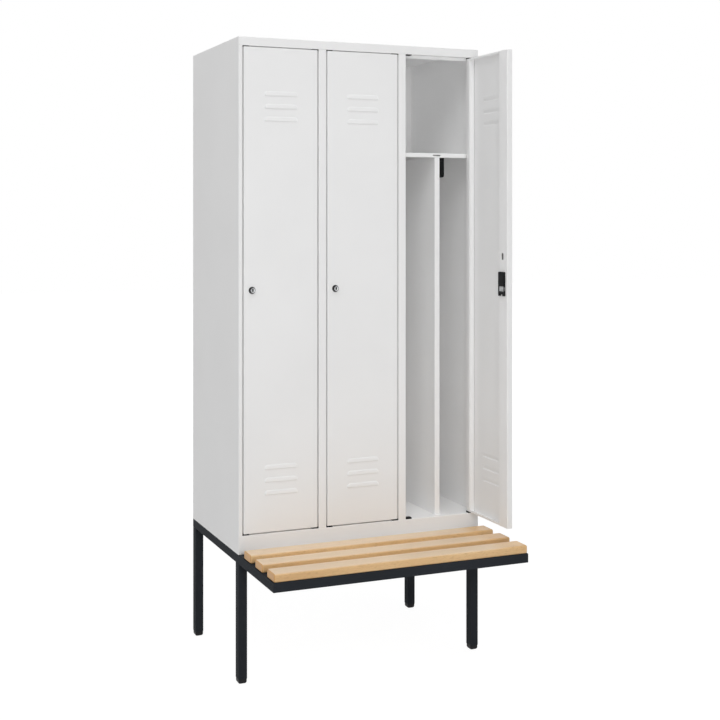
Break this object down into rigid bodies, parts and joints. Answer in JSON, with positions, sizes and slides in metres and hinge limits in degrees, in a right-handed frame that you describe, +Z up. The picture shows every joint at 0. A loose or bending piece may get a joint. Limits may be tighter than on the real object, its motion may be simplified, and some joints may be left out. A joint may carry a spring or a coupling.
{
  "type": "clothes locker with bench",
  "caption": "Sheet-steel clothes locker with louvred, locking hinged doors, hat shelves and hooks, on a tube frame that runs forward as a slatted bench.",
  "frame": {"origin": "on the floor, in the middle of the width and of the depth from the bench's front to the cabinet's back", "axes": "+Z up, -Y to the front, +X to the right as seen from the front"},
  "size_m": [0.9, 0.815, 2.125],
  "materials": {
    "light_paint": "light grey powder coat, satin",
    "black_paint": "black-grey powder coat, satin",
    "beech": "clear-varnished beech",
    "black_plastic": "moulded, matte",
    "dark_metal": "dark lacquer",
    "zinc": "zinc plated"
  },
  "bodies": {
    "cabinet": {"back_panel": "light_paint", "bench_cross_rail": "black_paint", "bench_front_rail": "black_paint", "bench_left_rail": "black_paint", "bench_rear_rail": "black_paint", "bench_right_rail": "black_paint", "blanking_plugs": "black_plastic", "cabinet_bolts": "zinc", "cabinet_nuts": "zinc", "clothes_partition_1": "light_paint", "clothes_partition_2": "light_paint", "clothes_partition_3": "light_paint", "coat_hooks": "black_plastic", "dividing_wall_1": "light_paint", "dividing_wall_2": "light_paint", "feet": "black_plastic", "floor_pan": "light_paint", "hat_shelf_1": "light_paint", "hat_shelf_2": "light_paint", "hat_shelf_3": "light_paint", "hook_rivets": "zinc", "left_post": "light_paint", "left_side_panel": "light_paint", "leg_front_left": "black_paint", "leg_front_right": "black_paint", "leg_rear_left": "black_paint", "leg_rear_right": "black_paint", "middle_post_1": "light_paint", "middle_post_2": "light_paint", "pivot_bushes": "black_plastic", "right_post": "light_paint", "right_side_panel": "light_paint", "roof_pan": "light_paint", "seat_slat_1": "beech", "seat_slat_2": "beech", "seat_slat_3": "beech", "sill_rail": "light_paint", "slat_screws": "zinc", "top_rail": "light_paint"},
    "door_1": {"door_1_hinge_pins": "zinc", "door_1_leaf": "light_paint", "door_1_lock_barrel": "dark_metal", "door_1_lock_housing": "black_plastic"},
    "lock_1": {"lock_1_cam": "zinc", "lock_1_cam_screw": "zinc", "lock_1_plug": "zinc"},
    "door_2": {"door_2_hinge_pins": "zinc", "door_2_leaf": "light_paint", "door_2_lock_barrel": "dark_metal", "door_2_lock_housing": "black_plastic"},
    "lock_2": {"lock_2_cam": "zinc", "lock_2_cam_screw": "zinc", "lock_2_plug": "zinc"},
    "door_3": {"door_3_hinge_pins": "zinc", "door_3_leaf": "light_paint", "door_3_lock_barrel": "dark_metal", "door_3_lock_housing": "black_plastic"},
    "lock_3": {"lock_3_cam": "zinc", "lock_3_cam_screw": "zinc", "lock_3_plug": "zinc"}
  },
  "joints": [
    {"name": "door_1_swing", "type": "hinge", "parent": "cabinet", "child": "door_1", "pos_m": [-0.176, -0.0825, 1.28825], "axis": [0, 0, 1], "range_deg": [0, 97]},
    {"name": "door_2_swing", "type": "hinge", "parent": "cabinet", "child": "door_2", "pos_m": [0.124, -0.0825, 1.28825], "axis": [0, 0, 1], "range_deg": [0, 97]},
    {"name": "door_3_swing", "type": "hinge", "parent": "cabinet", "child": "door_3", "pos_m": [0.424, -0.0825, 1.28825], "axis": [0, 0, 1], "range_deg": [-90, 7]},
    {"name": "lock_1_turn", "type": "hinge", "parent": "door_1", "child": "lock_1", "pos_m": [-0.403, -0.0925, 1.29125], "axis": [0, -1, 0], "range_deg": [0, 90]},
    {"name": "lock_2_turn", "type": "hinge", "parent": "door_2", "child": "lock_2", "pos_m": [-0.103, -0.0925, 1.29125], "axis": [0, -1, 0], "range_deg": [0, 90]},
    {"name": "lock_3_turn", "type": "hinge", "parent": "door_3", "child": "lock_3", "pos_m": [0.434, -0.3095, 1.29125], "axis": [1, 0, 0], "range_deg": [0, 90]}
  ]
}
